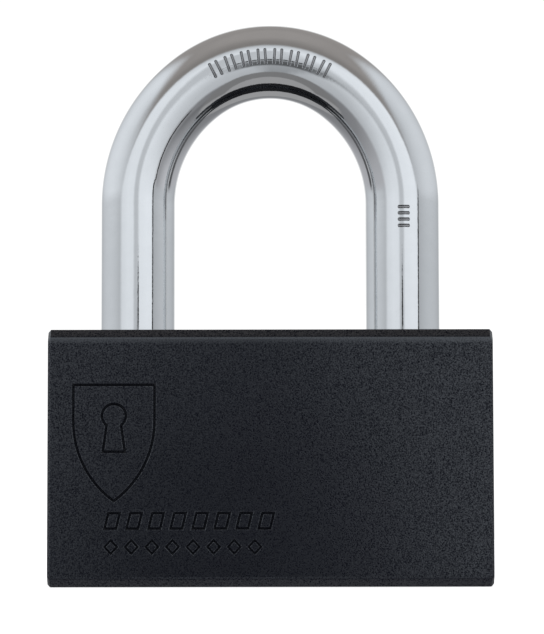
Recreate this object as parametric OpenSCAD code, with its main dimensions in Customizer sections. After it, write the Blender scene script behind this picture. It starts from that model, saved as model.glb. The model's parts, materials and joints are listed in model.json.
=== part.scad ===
// Heavy-duty padlock: a solid body, a thick shackle locked at both legs by balls, and a
// pin tumbler cylinder with a flat-key plug. Millimetres.
// The origin is the centre of the underside, +X is to the right, +Y to the rear, +Z up.
// It is drawn closed and unlocked: the plug is turned a quarter turn and the balls are drawn in.

/* [Body] */
// Width of the body, across the two shackle legs
body_w = 93.5; // [92:0.5:98]
// Depth of the body, from front to back
body_d = 35; // [34.5:0.5:38]
// Height of the body
body_h = 54; // [53.5:0.5:57]
// Chamfer along the long edges of the top and the underside
body_chamfer = 1.65; // [0.8:0.05:2.2]
// Small break on the upright edges and on the corners
body_break = 0.6; // [0.3:0.1:0.8]
// Depth of the marks pressed into the front
mark_depth = 0.3; // [0.2:0.05:0.5]

/* [Shackle] */
// Diameter of the shackle bar
bar_d = 16; // [15.8:0.05:16]
// Distance between the centre lines of the two legs
leg_span = 57.2; // [57.2:0.1:58]
// Clear height under the crown, above the body
clearance = 51.5; // [40:0.5:80]
// How far the shackle lifts when the lock is open
lift = 26; // [25:0.5:26]
// Radial gap round a leg in its bore
leg_gap = 0.2; // [0.15:0.05:0.25]
// Bend radius at the crown, along the bar's centre line. The flanks are bent wider.
crown_r = 26; // [24:0.5:28]

/* [Locking balls] */
// Diameter of each ball
ball_d = 12.7; // [12.6:0.05:12.7]
// Height of the ball centres above the underside
ball_z = 40; // [40:0.25:41]
// How far a locked ball stands into its leg
lock_bite = 4.05; // [3.8:0.05:4.1]
// How far the heel ball still stands into its leg when unlocked, to hold the shackle in
heel_bite = 1.3; // [1:0.05:1.3]

/* [Cylinder] */
// Diameter of the lock cylinder
cylinder_d = 26; // [25.8:0.1:26]
// Diameter of the plug that the key turns
plug_d = 12.4; // [12.3:0.05:12.5]
// Diameter of each pin
pin_d = 3.2; // [3:0.1:3.3]
// Distance from one pin to the next
pin_pitch = 4.4; // [4.3:0.05:4.4]
// Fall of each key pin, from the shear line to its ledge, when the key is drawn out
pin_falls = [0.35, 0.95, 0.55, 1.15, 0.75];
// Thickness of the keyway slot
keyway_t = 2.4; // [2.2:0.1:2.5]
// Width of the keyway slot
keyway_w = 8.6; // [8:0.1:9]

/* [Hidden] */
$fn = 96;
eps = 0.01;
past = 1;                                  // how far a cut runs past the face it opens through

// Fits
run_gap = 0.05;                            // radial gap of a turning or sliding fit
press_gap = 0.02;                          // gap drawn at a pressed-in piece

// Shackle. The toe is the short leg, at +X; the heel is the long one, at -X.
bar_r = bar_d / 2;
leg_x = leg_span / 2;
bore_r = bar_r + leg_gap;
crown_turn = [0.6, 0.8];                   // sine and cosine of half the crown's angle, 36.87 degrees
flank_r = (leg_x - crown_r * crown_turn[0]) / (1 - crown_turn[0]);
crown_z = body_h + clearance + bar_r - crown_r;
bend_z = crown_z - (flank_r - crown_r) * crown_turn[1];
toe_end_z = ball_z - 10;
heel_end_z = ball_z - lift - 9;
toe_bore_z = toe_end_z - 3;
heel_bore_z = heel_end_z - 1;
leg_end_chamfer = 1;
pocket_gap = 0.15;                         // clearance round a ball in its pocket
groove_bite = heel_bite + 0.2;
ring_bite = heel_bite + 0.3;

// Balls, measured from the lock's centre line to the ball's centre
ball_r = ball_d / 2;
leg_face_x = leg_x - bar_r;
ball_locked = leg_face_x + lock_bite - ball_r;
toe_free = leg_face_x - 0.1 - ball_r;
heel_free = leg_face_x + heel_bite - ball_r;
channel_r = ball_r + 0.1;

// Cylinder, from the underside up
cylinder_r = cylinder_d / 2;
pocket_r = cylinder_r + run_gap;
guard_z = 0.3;
guard_top = 2.8;
skirt_top = 4.6;
skirt_in_r = cylinder_r - 1.4;
housing_top = ball_z - 12;
plug_r = plug_d / 2;
plug_bore_r = plug_r + run_gap;
head_r = plug_r + 1.4;
head_z = 0.7;
head_top = guard_top - 0.1;
clip_groove_r = plug_r - 2;
clip_groove_top = housing_top + 0.95;
clip_z = housing_top + 0.1;
clip_h = 0.8;
clip_r = plug_r + 1.3;
journal_r = plug_r - 1.2;
journal_top = housing_top + 2;
tongue_w = 8;
tongue_t = 3;
tongue_top = journal_top + 3;
keyway_top = housing_top - 1.6;

// Cam
cam_z = journal_top + 0.1;
cam_flange_top = cam_z + 3.1;
cam_top = ball_z + 7;
cam_flange_r = cylinder_r - 0.1;
stub_r = 5;
stub_top = cam_top + 3;
pocket_top = cam_top + 0.2;
cam_step = 5;                              // degrees between two points of the cam's outline

// Pins
pin_r = pin_d / 2;
chamber_r = pin_r + run_gap;
first_pin_z = 6.6;
pin_count = len(pin_falls);
key_pin_out = plug_r - 0.1;
ledge_x = 2.2;
tip_r = 0.8;
tip_h = 2.2;
driver_in = plug_r + 0.1;
driver_h = 2.6;
spring_in = driver_in + driver_h;
cap_in = cylinder_r - 1;
cap_h = 0.85;
wire_r = 0.175;
coil_r = 1.2;
coil_turns = 5;

// Drill pins
guard_pin_r = 1;
guard_pin_h = 20;
guard_pin_at = 6.8;
plug_pin_r = 0.75;
plug_pin_h = 12;
plug_pin_at = [3.6, 2.4];

// Set screw that holds the cylinder, reached through the toe bore
screw_tilt = 30;
screw_r = 2.5;
screw_hole_r = screw_r + run_gap;
screw_entry = [leg_x - bore_r, toe_bore_z + 0.8];
screw_tip = -18.5;
screw_head = -6.5;
screw_socket_af = 2.5;

// Outline of a rectangle with cut corners, centred
function cut_rect(w, h, c) = [
    [c - w / 2, -h / 2], [w / 2 - c, -h / 2], [w / 2, c - h / 2], [w / 2, h / 2 - c],
    [w / 2 - c, h / 2], [c - w / 2, h / 2], [-w / 2, h / 2 - c], [-w / 2, c - h / 2]
];

// Height of the centre of pin i, counted from 0 at the key's end
function pin_z(i) = first_pin_z + i * pin_pitch;

// ---- Marks: a plain shield with a keyhole, and two rows of ornament ----

mark_line = 0.6;
shield_at = [-32.8, 34.6];
shield_half_w = 8.8;
shield_rise = 8;
shield_bow = 12;
row_x = -35;
block_row_z = 12;
block_size = [2.9, 3.7];
block_slant = 0.9;
block_pitch = 4.6;
block_line = 0.5;
rhomb_row_z = 8.4;
rhomb_size = [3.2, 3.4];
rhomb_pitch = 4.3;
rhomb_line = 0.4;
row_count = 8;

// A shield: straight sides above its centre, and two arcs that meet at the tip below
function shield(half_w, rise, bow, steps = 10) =
    let (r = bow + half_w, sweep = acos(bow / r))
    concat(
        [[-half_w, rise], [half_w, rise]],
        [for (i = [0:steps]) let (a = -sweep * i / steps) [r * cos(a) - bow, r * sin(a)]],
        [for (i = [steps - 1:-1:0]) let (a = -sweep * i / steps) [bow - r * cos(a), r * sin(a)]]
    );

// A leaning block, drawn in from its outline by inset
function leaning(size, slant, inset) =
    let (s = slant * inset / size[1])
    [
        [inset + s, inset], [size[0] - inset + s, inset],
        [size[0] - inset + slant - s, size[1] - inset], [inset + slant - s, size[1] - inset]
    ];

function rhomb(w, h) = [[w / 2, 0], [0, h / 2], [-w / 2, 0], [0, -h / 2]];

module keyhole(grow) {
    translate([0, 1.2]) circle(r = 2.2 + grow);
    polygon([[-1.1 - grow, 0], [1.1 + grow, 0], [2 + grow, -6 - grow], [-2 - grow, -6 - grow]]);
}

module shield_mark() {
    difference() {
        polygon(shield(shield_half_w, shield_rise, shield_bow));
        polygon(shield(shield_half_w - mark_line, shield_rise - mark_line, shield_bow));
    }
    difference() {
        keyhole(mark_line);
        keyhole(0);
    }
}

module block_row() {
    for (i = [0:row_count - 1]) translate([i * block_pitch, 0]) difference() {
        polygon(leaning(block_size, block_slant, 0));
        polygon(leaning(block_size, block_slant, block_line));
    }
}

module rhomb_row() {
    for (i = [0:row_count - 1]) translate([i * rhomb_pitch + rhomb_size[0] / 2, 0]) difference() {
        polygon(rhomb(rhomb_size[0], rhomb_size[1]));
        polygon(rhomb(rhomb_size[0] - 3 * rhomb_line, rhomb_size[1] - 3 * rhomb_line));
    }
}

// Cuts a flat outline into the front face, with its origin at x, z
module pressed_in_front(x, z) {
    translate([x, mark_depth - body_d / 2, z]) rotate([90, 0, 0]) linear_extrude(mark_depth + past)
        children();
}

// ---- Body ----

module body_block() {
    intersection() {
        linear_extrude(body_h) polygon(cut_rect(body_w, body_d, body_break));
        translate([-body_w / 2, 0, body_h / 2]) rotate([90, 0, 90]) linear_extrude(body_w)
            polygon(cut_rect(body_d, body_h, body_chamfer));
        translate([0, body_d / 2, body_h / 2]) rotate([90, 0, 0]) linear_extrude(body_d)
            polygon(cut_rect(body_w, body_h, body_break));
    }
}

module shackle_bores() {
    drain_r = 1.75;
    translate([leg_x, 0, toe_bore_z]) cylinder(r = bore_r, h = body_h - toe_bore_z + past);
    translate([-leg_x, 0, heel_bore_z]) cylinder(r = bore_r, h = body_h - heel_bore_z + past);
    translate([leg_x, 0, -past]) cylinder(r = drain_r, h = toe_bore_z + 2 * past);
    translate([-leg_x, 0, -past]) cylinder(r = drain_r, h = heel_bore_z + 2 * past);
}

module lock_pocket() {
    translate([0, 0, -past]) cylinder(r = pocket_r, h = pocket_top + past);
    translate([0, 0, pocket_top - eps]) cylinder(r = stub_r + run_gap, h = stub_top + 0.2 - pocket_top);
}

// The balls run in one cross channel, whose round ends keep them from falling into the bores
module ball_channel() {
    translate([-ball_locked, 0, ball_z]) rotate([0, 90, 0]) cylinder(r = channel_r, h = 2 * ball_locked);
    for (side = [-1, 1]) translate([side * ball_locked, 0, ball_z]) sphere(r = channel_r);
}

// Places its children on the set screw's axis, with +Z up and out towards the toe bore
module on_screw_axis() {
    translate([screw_entry[0], 0, screw_entry[1]]) rotate([0, screw_tilt, 0]) children();
}

module screw_hole() {
    on_screw_axis() translate([0, 0, screw_tip - 0.1]) cylinder(r = screw_hole_r, h = 6 - screw_tip);
}

module body() {
    color("#2b2c31") difference() {
        body_block();
        shackle_bores();
        lock_pocket();
        ball_channel();
        screw_hole();
        pressed_in_front(shield_at[0], shield_at[1]) shield_mark();
        pressed_in_front(row_x, block_row_z) block_row();
        pressed_in_front(row_x, rhomb_row_z) rhomb_row();
    }
}

// ---- Shackle ----

module leg(x, end_z) {
    translate([x, 0, end_z]) cylinder(r1 = bar_r - leg_end_chamfer, r2 = bar_r, h = leg_end_chamfer);
    translate([x, 0, end_z + leg_end_chamfer]) cylinder(r = bar_r, h = bend_z - end_z - leg_end_chamfer);
}

// Half a turn of bent bar in the plane of the shackle, kept inside a wedge from its centre
module bent_bar(radius, wedge) {
    rotate([90, 0, 0]) intersection() {
        rotate_extrude(angle = 180) translate([radius, 0]) circle(r = bar_r);
        translate([0, 0, -bar_r - past]) linear_extrude(2 * (bar_r + past)) polygon(wedge);
    }
}

// Two wide flanks that rise from the legs, and a tighter crown between them
module bend() {
    reach = 100;
    turn = reach * crown_turn;
    translate([0, 0, crown_z]) bent_bar(crown_r, [[0, 0], turn, [-turn[0], turn[1]]]);
    translate([leg_x - flank_r, 0, bend_z]) bent_bar(flank_r, [[0, 0], [reach, 0], turn]);
    translate([flank_r - leg_x, 0, bend_z]) bent_bar(flank_r, [[0, 0], [-turn[0], turn[1]], [-reach, 0]]);
}

module ball_pocket(x, z) {
    translate([x, 0, z]) sphere(r = ball_r + pocket_gap);
}

// The heel ball rides in a long groove and, with the shackle up, in a ring at its lower end
module heel_groove() {
    groove_r = ball_r + pocket_gap;
    translate([-leg_face_x - groove_bite + groove_r, 0, ball_z - lift]) cylinder(r = groove_r, h = lift);
    translate([-leg_x, 0, ball_z - lift]) rotate_extrude()
        translate([bar_r - ring_bite + groove_r, 0]) circle(r = groove_r);
}

module crown_marks() {
    mark_angle = 7.6;
    bar_size = [0.5, 1, 3.6];
    pair_half = 0.75;
    for (i = [0:row_count - 1]) {
        translate([0, 0, crown_z]) rotate([0, (i - (row_count - 1) / 2) * mark_angle, 0])
            for (side = [-1, 1])
                translate([side * pair_half - bar_size[0] / 2, -bar_r - 0.6, crown_r - bar_size[2] / 2])
                    cube(bar_size);
    }
}

module leg_marks() {
    mark_z = body_h + 22.6;
    mark_pitch = 1.35;
    bar_size = [2.6, 1, 0.5];
    for (i = [0:3])
        translate([leg_x - bar_size[0] / 2, -bar_r - 0.7, mark_z + i * mark_pitch]) cube(bar_size);
}

module shackle() {
    color("#d4d6da") difference() {
        union() {
            leg(leg_x, toe_end_z);
            leg(-leg_x, heel_end_z);
            bend();
        }
        ball_pocket(ball_locked, ball_z);
        ball_pocket(-ball_locked, ball_z);
        ball_pocket(-ball_locked, ball_z - lift);
        heel_groove();
        crown_marks();
        leg_marks();
    }
}

// ---- Cylinder ----

// Places its children at each of the two drill pins of the housing
module at_guard_pins() {
    for (side = [-1, 1]) translate([side * guard_pin_at, -guard_pin_at, guard_top]) children();
}

module at_plug_pins() {
    for (side = [-1, 1]) translate([plug_pin_at[0], side * plug_pin_at[1], head_z]) children();
}

module cylinder_housing() {
    color("#c9a24a") difference() {
        union() {
            translate([0, 0, guard_top]) cylinder(r = skirt_in_r, h = skirt_top - guard_top + eps);
            translate([0, 0, skirt_top]) cylinder(r = cylinder_r, h = housing_top - skirt_top);
        }
        translate([0, 0, guard_top - past])
            cylinder(r = plug_bore_r, h = housing_top - guard_top + 2 * past);
        for (i = [0:pin_count - 1])
            translate([0, 0, pin_z(i)]) rotate([-90, 0, 0]) cylinder(r = chamber_r, h = cylinder_r + past);
        at_guard_pins() translate([0, 0, -past])
            cylinder(r = guard_pin_r + press_gap, h = guard_pin_h + past + 0.2);
        screw_hole();
    }
}

// Hardened cap pressed over the cylinder's lower end
module drill_guard_ring() {
    color("#7d8087") difference() {
        translate([0, 0, guard_z]) cylinder(r = cylinder_r, h = skirt_top - press_gap - guard_z);
        translate([0, 0, guard_z - past]) cylinder(r = head_r + run_gap, h = skirt_top + past);
        translate([0, 0, guard_top]) cylinder(r = skirt_in_r + press_gap, h = skirt_top);
    }
}

module housing_drill_pins() {
    color("#9a9da3") at_guard_pins() translate([0, 0, 0.1]) cylinder(r = guard_pin_r, h = guard_pin_h);
}

module cylinder_screw() {
    tip_chamfer = 0.8;
    socket_depth = 2.5;
    color("#3c3e44") on_screw_axis() difference() {
        union() {
            translate([0, 0, screw_tip])
                cylinder(r1 = screw_r - tip_chamfer, r2 = screw_r, h = tip_chamfer);
            translate([0, 0, screw_tip + tip_chamfer])
                cylinder(r = screw_r, h = screw_head - screw_tip - tip_chamfer);
        }
        translate([0, 0, screw_head - socket_depth])
            cylinder(r = screw_socket_af / sqrt(3), h = socket_depth + past, $fn = 6);
    }
}

// Keyway slot with a ward on each side. The key's flat sides face the pins.
module keyway() {
    ward_t = 0.5;
    ward_w = 0.9;
    difference() {
        square([keyway_t, keyway_w], center = true);
        translate([-keyway_t / 2, keyway_w / 2 - 2.2]) square([ward_t, ward_w]);
        translate([keyway_t / 2 - ward_t, 1.3 - keyway_w / 2]) square([ward_t, ward_w]);
    }
}

module cylinder_plug() {
    color("#d8b45c") difference() {
        union() {
            translate([0, 0, head_z]) cylinder(r = head_r, h = head_top - head_z);
            translate([0, 0, head_top - eps]) cylinder(r = plug_r, h = housing_top - head_top + eps);
            translate([0, 0, housing_top - eps]) cylinder(r = clip_groove_r, h = 1);
            translate([0, 0, clip_groove_top]) cylinder(r = journal_r, h = journal_top - clip_groove_top);
            translate([-tongue_t / 2, -tongue_w / 2, journal_top - eps])
                cube([tongue_t, tongue_w, tongue_top - journal_top + eps]);
        }
        translate([0, 0, head_z - past]) linear_extrude(keyway_top - head_z + past) keyway();
        for (i = [0:pin_count - 1]) translate([0, 0, pin_z(i)]) rotate([0, -90, 0]) {
            translate([0, 0, ledge_x]) cylinder(r = chamber_r, h = plug_r);
            cylinder(r = tip_r + run_gap, h = ledge_x + eps);
        }
        at_plug_pins() translate([0, 0, -past])
            cylinder(r = plug_pin_r + press_gap, h = plug_pin_h + past + 0.2);
    }
}

module plug_drill_pins() {
    color("#9a9da3") at_plug_pins() translate([0, 0, 0.1]) cylinder(r = plug_pin_r, h = plug_pin_h);
}

// Open ring clip that keeps the plug in the housing
module plug_clip() {
    clip_slot = 5;
    color("#6f7278") translate([0, 0, clip_z]) difference() {
        cylinder(r = clip_r, h = clip_h);
        translate([0, 0, -past]) cylinder(r = clip_groove_r + 0.1, h = clip_h + 2 * past);
        translate([0, -clip_slot / 2, -past]) cube([clip_r + past, clip_slot, clip_h + 2 * past]);
    }
}

// ---- Cam and balls ----

// Distance of a ball's centre from the axis, with the cam turned by angle from rest.
// The toe ball works on the cam from 0 to 90 degrees and the heel ball from 90 to 180.
function ball_reach(angle) =
    let (a = abs(angle) > 180 ? 360 - abs(angle) : abs(angle))
    a <= 90 ? toe_free + (ball_locked - toe_free) * a / 90
            : heel_free + (ball_locked - heel_free) * (180 - a) / 90;

// How far a ray from the axis runs before it meets the ball, for a ball off the ray by angle off
function ray_to_ball(reach, off) =
    let (r = ball_r + run_gap, side = reach * sin(off))
    abs(side) < r ? reach * cos(off) - sqrt(r * r - side * side) : cam_flange_r;

// The cam fills the space that the ball leaves free at every angle
function cam_radius(angle) =
    min([for (off = [-40:2:40]) ray_to_ball(ball_reach(angle + off), off)]);

function cam_outline() =
    [for (a = [-180:cam_step:180 - cam_step]) let (r = cam_radius(a)) [r * cos(a), r * sin(a)]];

module lock_cam() {
    slot_gap = 0.1;
    color("#b9bcc2") difference() {
        union() {
            translate([0, 0, cam_z]) cylinder(r = cam_flange_r, h = cam_flange_top - cam_z);
            translate([0, 0, cam_flange_top - eps]) linear_extrude(cam_top - cam_flange_top + eps)
                polygon(cam_outline());
            translate([0, 0, cam_top - eps]) cylinder(r = stub_r, h = stub_top - cam_top + eps);
        }
        translate([-tongue_t / 2 - slot_gap, -tongue_w / 2 - slot_gap, cam_z - past])
            cube([tongue_t + 2 * slot_gap, tongue_w + 2 * slot_gap, tongue_top + 0.3 - cam_z + past]);
    }
}

module toe_ball() {
    color("#c8cace") translate([toe_free, 0, ball_z]) sphere(r = ball_r);
}

module heel_ball() {
    color("#c8cace") translate([-heel_free, 0, ball_z]) sphere(r = ball_r);
}

// ---- Pins and springs ----

// A key pin reaches from just under the plug's surface to the keyway, in through its narrow hole
module key_pin(i) {
    body_h1 = key_pin_out - ledge_x - pin_falls[i];
    end_chamfer = 0.5;
    tip_taper = 0.4;
    color("#e0c070") translate([-key_pin_out, 0, pin_z(i)]) rotate([0, 90, 0]) {
        cylinder(r1 = pin_r - end_chamfer, r2 = pin_r, h = end_chamfer);
        translate([0, 0, end_chamfer - eps]) cylinder(r = pin_r, h = body_h1 - end_chamfer + eps);
        translate([0, 0, body_h1 - eps]) cylinder(r = tip_r, h = tip_h - tip_taper + eps);
        translate([0, 0, body_h1 + tip_h - tip_taper]) cylinder(r1 = tip_r, r2 = tip_r / 2, h = tip_taper);
    }
}

// A driver pin has a waist, which catches the edge of the plug when it is picked
module driver_pin(i) {
    end_h = 0.75;
    waist_r = pin_r - 0.45;
    color("#c7cad0") translate([0, driver_in, pin_z(i)]) rotate([-90, 0, 0]) {
        cylinder(r = pin_r, h = end_h);
        translate([0, 0, end_h - eps]) cylinder(r = waist_r, h = driver_h - 2 * end_h + 2 * eps);
        translate([0, 0, driver_h - end_h]) cylinder(r = pin_r, h = end_h);
    }
}

module spring_caps() {
    color("#c9a24a") for (i = [0:pin_count - 1])
        translate([0, cap_in, pin_z(i)]) rotate([-90, 0, 0]) cylinder(r = chamber_r - press_gap, h = cap_h);
}

coil_steps = 10;                           // rings of points in one turn of a spring
wire_sides = 6;
coil_rings = coil_turns * coil_steps;

// Points of ring k round the spring's wire, for a coil of height h along +Z
function wire_ring(k, h) =
    let (a = 360 * k / coil_steps, z = wire_r + (h - 2 * wire_r) * k / coil_rings)
    [for (s = [0:wire_sides - 1])
        let (b = 360 * s / wire_sides, r = coil_r + wire_r * cos(b))
        [r * cos(a), r * sin(a), z + wire_r * sin(b)]];

module coil_spring(h) {
    points = [for (k = [0:coil_rings]) each wire_ring(k, h)];
    sides = [for (k = [0:coil_rings - 1], s = [0:wire_sides - 1])
        let (a = k * wire_sides, b = a + wire_sides, t = (s + 1) % wire_sides)
        [a + s, b + s, b + t, a + t]];
    first = [for (s = [0:wire_sides - 1]) s];
    last = [for (s = [wire_sides - 1:-1:0]) coil_rings * wire_sides + s];
    polyhedron(points, concat(sides, [first, last]));
}

module pin_spring(i) {
    end_gap = 0.02;
    color("#d9dbe0") translate([0, spring_in + end_gap, pin_z(i)]) rotate([-90, 0, 0])
        coil_spring(cap_in - spring_in - 2 * end_gap);
}

body();
shackle();
cylinder_housing();
drill_guard_ring();
housing_drill_pins();
cylinder_screw();
cylinder_plug();
plug_drill_pins();
plug_clip();
lock_cam();
toe_ball();
heel_ball();
spring_caps();
for (i = [0:pin_count - 1]) {
    key_pin(i);
    driver_pin(i);
    pin_spring(i);
}
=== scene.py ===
"""A heavy-duty padlock: black powder-coated body, chromed shackle, keyed cylinder, locking balls."""
import json
import math

import bmesh
import bpy
from mathutils import Matrix, Vector


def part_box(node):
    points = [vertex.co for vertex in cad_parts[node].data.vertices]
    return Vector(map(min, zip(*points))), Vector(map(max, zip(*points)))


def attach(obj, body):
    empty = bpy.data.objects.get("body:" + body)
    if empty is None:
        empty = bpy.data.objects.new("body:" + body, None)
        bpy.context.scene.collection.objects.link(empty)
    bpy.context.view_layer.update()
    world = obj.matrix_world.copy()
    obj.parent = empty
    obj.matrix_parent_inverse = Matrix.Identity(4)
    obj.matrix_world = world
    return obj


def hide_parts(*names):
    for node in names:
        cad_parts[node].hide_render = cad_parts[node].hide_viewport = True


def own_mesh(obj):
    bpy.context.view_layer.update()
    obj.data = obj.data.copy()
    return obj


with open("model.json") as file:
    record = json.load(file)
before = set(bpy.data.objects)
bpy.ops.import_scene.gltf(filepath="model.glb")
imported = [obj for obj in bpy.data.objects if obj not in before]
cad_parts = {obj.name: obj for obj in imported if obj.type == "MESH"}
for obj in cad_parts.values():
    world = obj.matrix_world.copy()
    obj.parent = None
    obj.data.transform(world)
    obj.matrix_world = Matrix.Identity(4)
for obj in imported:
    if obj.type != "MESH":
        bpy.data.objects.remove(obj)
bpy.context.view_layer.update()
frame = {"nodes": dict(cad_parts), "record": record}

# Lengths are in millimetres, and become metres when a mesh is finished.
MM = 0.001


def box_mm(node):
    return [Vector(p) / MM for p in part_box(node)]


BODY_LO, BODY_HI = box_mm("body")
BAR_LO, BAR_HI = box_mm("shackle")
FRONT_Y = BODY_LO.y
# The body's long edges are cut off by this much
CHAMFER = 1.65

# The shackle's centre line: two legs, two wide flanks, and a tighter crown. The crown ends at either
# side at the angle that has this sine and cosine.
BAR_R = (BAR_HI.y - BAR_LO.y) / 2
LEG_X = BAR_HI.x - BAR_R
CROWN_R = 26.0
CROWN_SINE, CROWN_COSINE = 0.6, 0.8
CROWN_HALF = math.atan2(CROWN_SINE, CROWN_COSINE)
FLANK_R = (LEG_X - CROWN_R * CROWN_SINE) / (1 - CROWN_SINE)
CROWN_Z = BAR_HI.z - BAR_R - CROWN_R
BEND_Z = CROWN_Z - (FLANK_R - CROWN_R) * CROWN_COSINE
TOE_END = 30.0
HEEL_END = BAR_LO.z
LEG_CHAMFER = 1.0

# Where the two balls stand when locked, and how far the shackle lifts
BALL_Z = 40.0
BALL_X = 18.3
LIFT = 26.0

# ---------------------------------------------------------------- camera

CAMERA_PITCH = math.radians(4.456)
CAMERA_AT = Vector((0.357, -598.07, 11.24))
CAMERA_ROLL = math.radians(-0.1016)
LENS = 157.45174
SENSOR = 36.0
CLIP_START = 10


def make_camera():
    """Stands in front of the padlock, close to the floor, and looks slightly up at it."""
    data = bpy.data.cameras.new("camera")
    data.sensor_fit = "VERTICAL"
    data.sensor_height = SENSOR
    data.lens = LENS
    data.clip_start = CLIP_START * MM
    camera = bpy.data.objects.new("camera", data)
    look = Matrix.Rotation(math.pi / 2 + CAMERA_PITCH, 4, "X")
    roll = Matrix.Rotation(CAMERA_ROLL, 4, "Z")
    camera.matrix_world = Matrix.Translation(CAMERA_AT * MM) @ look @ roll
    bpy.context.scene.collection.objects.link(camera)
    bpy.context.scene.camera = camera


# ---------------------------------------------------------------- node helpers


class Nodes:
    """A node tree, with short ways to add and join nodes."""

    def __init__(self, tree):
        self.tree = tree
        tree.nodes.clear()

    def add(self, kind, inputs=None, **settings):
        node = self.tree.nodes.new(kind)
        for key, value in settings.items():
            setattr(node, key, value)
        for key, value in (inputs or {}).items():
            self.feed(node.inputs[key], value)
        return node

    def feed(self, socket, value):
        if isinstance(value, bpy.types.NodeSocket):
            self.tree.links.new(value, socket)
        else:
            socket.default_value = value

    def math(self, operation, *values, clamp=False):
        node = self.add("ShaderNodeMath", operation=operation, use_clamp=clamp)
        for socket, value in zip(node.inputs, values):
            self.feed(socket, value)
        return node.outputs[0]

    def step(self, value, start, end):
        """0 before start and 1 after end, or the reverse where end is the smaller."""
        node = self.add("ShaderNodeMapRange", interpolation_type="SMOOTHSTEP")
        low, high = (start, end) if start < end else (end, start)
        for socket, number in zip(node.inputs, (value, low, high, start > end, start < end)):
            self.feed(socket, float(number) if isinstance(number, (int, bool)) else number)
        return node.outputs[0]

    def ramp(self, factor, stops):
        """stops are (position, grey or colour)."""
        node = self.add("ShaderNodeValToRGB", {"Fac": factor})
        elements = node.color_ramp.elements
        while len(elements) < len(stops):
            elements.new(0.5)
        for element, (position, value) in zip(elements, stops):
            element.position = position
            element.color = (value, value, value, 1) if isinstance(value, float) else (*value, 1)
        return node.outputs["Color"]

    def mix(self, factor, a, b, how="MIX"):
        node = self.add("ShaderNodeMix", data_type="RGBA", blend_type=how)
        self.feed(node.inputs[0], factor)
        self.feed(node.inputs[6], a)
        self.feed(node.inputs[7], b)
        return node.outputs[2]

    def tint(self, brightness, colour):
        """brightness times colour, where colour may pass 1."""
        node = self.add("ShaderNodeVectorMath", operation="SCALE")
        node.inputs[0].default_value = tuple(colour)
        self.feed(node.inputs["Scale"], brightness)
        return node.outputs[0]


# ---------------------------------------------------------------- studio

# The studio is all around the padlock, in degrees of turn and of height. A turn of 0 is towards the
# camera, and turns to the right are positive. A pair in brackets is where an edge begins and ends.

# Tints of the panels, of the unlit walls and ceiling, and of the ground
PANEL_TINT = (0.95, 0.985, 1.03)
WALL_TINT = (0.98, 0.985, 1.03)
CEILING_TINT = (1.06, 0.99, 0.95)
GROUND_TINT = (1.0, 0.99, 1.0)
CEILING_EDGE = (8, 45)
# Brightness of the unlit studio, by height
STUDIO_DIM = [
    (-37, 0.27), (-27, 0.30), (-18, 0.40), (-9, 0.51), (0, 0.57), (6, 0.50), (20, 0.37), (62, 0.35),
    (75, 0.385),
]
# How the wall at the right varies below its panel, by turn, its largest value, and where this ends
WALL_ROUND = [(50, 1.0), (58, 0.74), (66, 0.9), (76, 1.12), (88, 1.3), (98, 1.1), (106, 0.85), (122, 1.0)]
WALL_TOP = 1.3
WALL_EDGE = (6, 1)
# A dark streak low on the wall at either side
STREAK_AT, STREAK_DARK = 107, 0.12
STREAK_SIDE, STREAK_EDGE = (9, 5), (4, -2)
# Side panels: where their middles are, how bright, and how much of that their far ends lose
LEFT_PANEL = (-98, 0.97, 0.34)
RIGHT_PANEL = (97, 0.87, 0.27)
# Their reach to either side, and how much lower their arched tops are there
PANEL_REACH, PANEL_DROP = 56, 24
PANEL_SIDE, PANEL_TOP, PANEL_LOW = (1.1, 0.9), (63, 49), (-1, 4)
# Their feet are dimmer
PANEL_FOOT = 0.79
FOOT_EDGE = (5, 11)
# The wide diffuser behind the camera: half width and height as sines, and brightness by height and turn
FRONT_HALF_WIDTH, FRONT_HALF_HEIGHT = 0.77, 0.72
FRONT_BY_HEIGHT = [
    (-40, 0.56), (-20, 0.64), (-9, 0.76), (0, 0.90), (7, 1.0), (28, 1.0), (36, 0.86), (46, 0.62),
]
FRONT_ROUND = [(-50, 0.94), (-30, 1.03), (-14, 1.02), (14, 1.06), (30, 1.10), (50, 1.08)]
FRONT_TOP = 1.10
FRONT_EDGE = (1.15, 0.86)
FACING_EDGE = (0.1, -0.1)
# It stands a little to the left, and its upper half is narrower
FRONT_SHIFT, FRONT_TAPER = 0.03, 0.11
TAPER_EDGE = (5, 25)
# A dark rim round its upper edge
RIM_DARK = 0.27
RIM_EDGE, RIM_HEIGHT = (1.9, 1.2), (20, 45)
# A soft grey line down the diffuser's middle
CREASE_AT, CREASE_GREY = -4, 0.68
CREASE_SIDE, CREASE_EDGE = (11, 3), (30, 24)
# A thin dark gap at the diffuser's right edge, which slants and shifts as it goes down
GAP_TURN, GAP_SLANT, GAP_TOP_TURN = 52.5, 0.2, 47.5
GAP_DARK = 0.03
GAP_BEND, GAP_SIDE, GAP_TOP, GAP_FOOT = (-2, 2), (2.3, 1.1), (12, 6), (-30, -26)
# The white backdrop behind the padlock: its direction to the back and up, and its edge as a cosine
BACKDROP_BACK, BACKDROP_UP = 0.985, 0.17
BACKDROP_EDGE = (0.84, 0.95)
# The ground, and the dark band across it in front of the padlock
GROUND_LIGHT, GROUND_DARK = 0.42, 0.25
GROUND_EDGE, BAND_EDGE, BAND_SIDE = (-37, -41), (-57, -54), (70, 60)
# What the camera itself sees behind everything
PAGE_WHITE = 1.1


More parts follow.
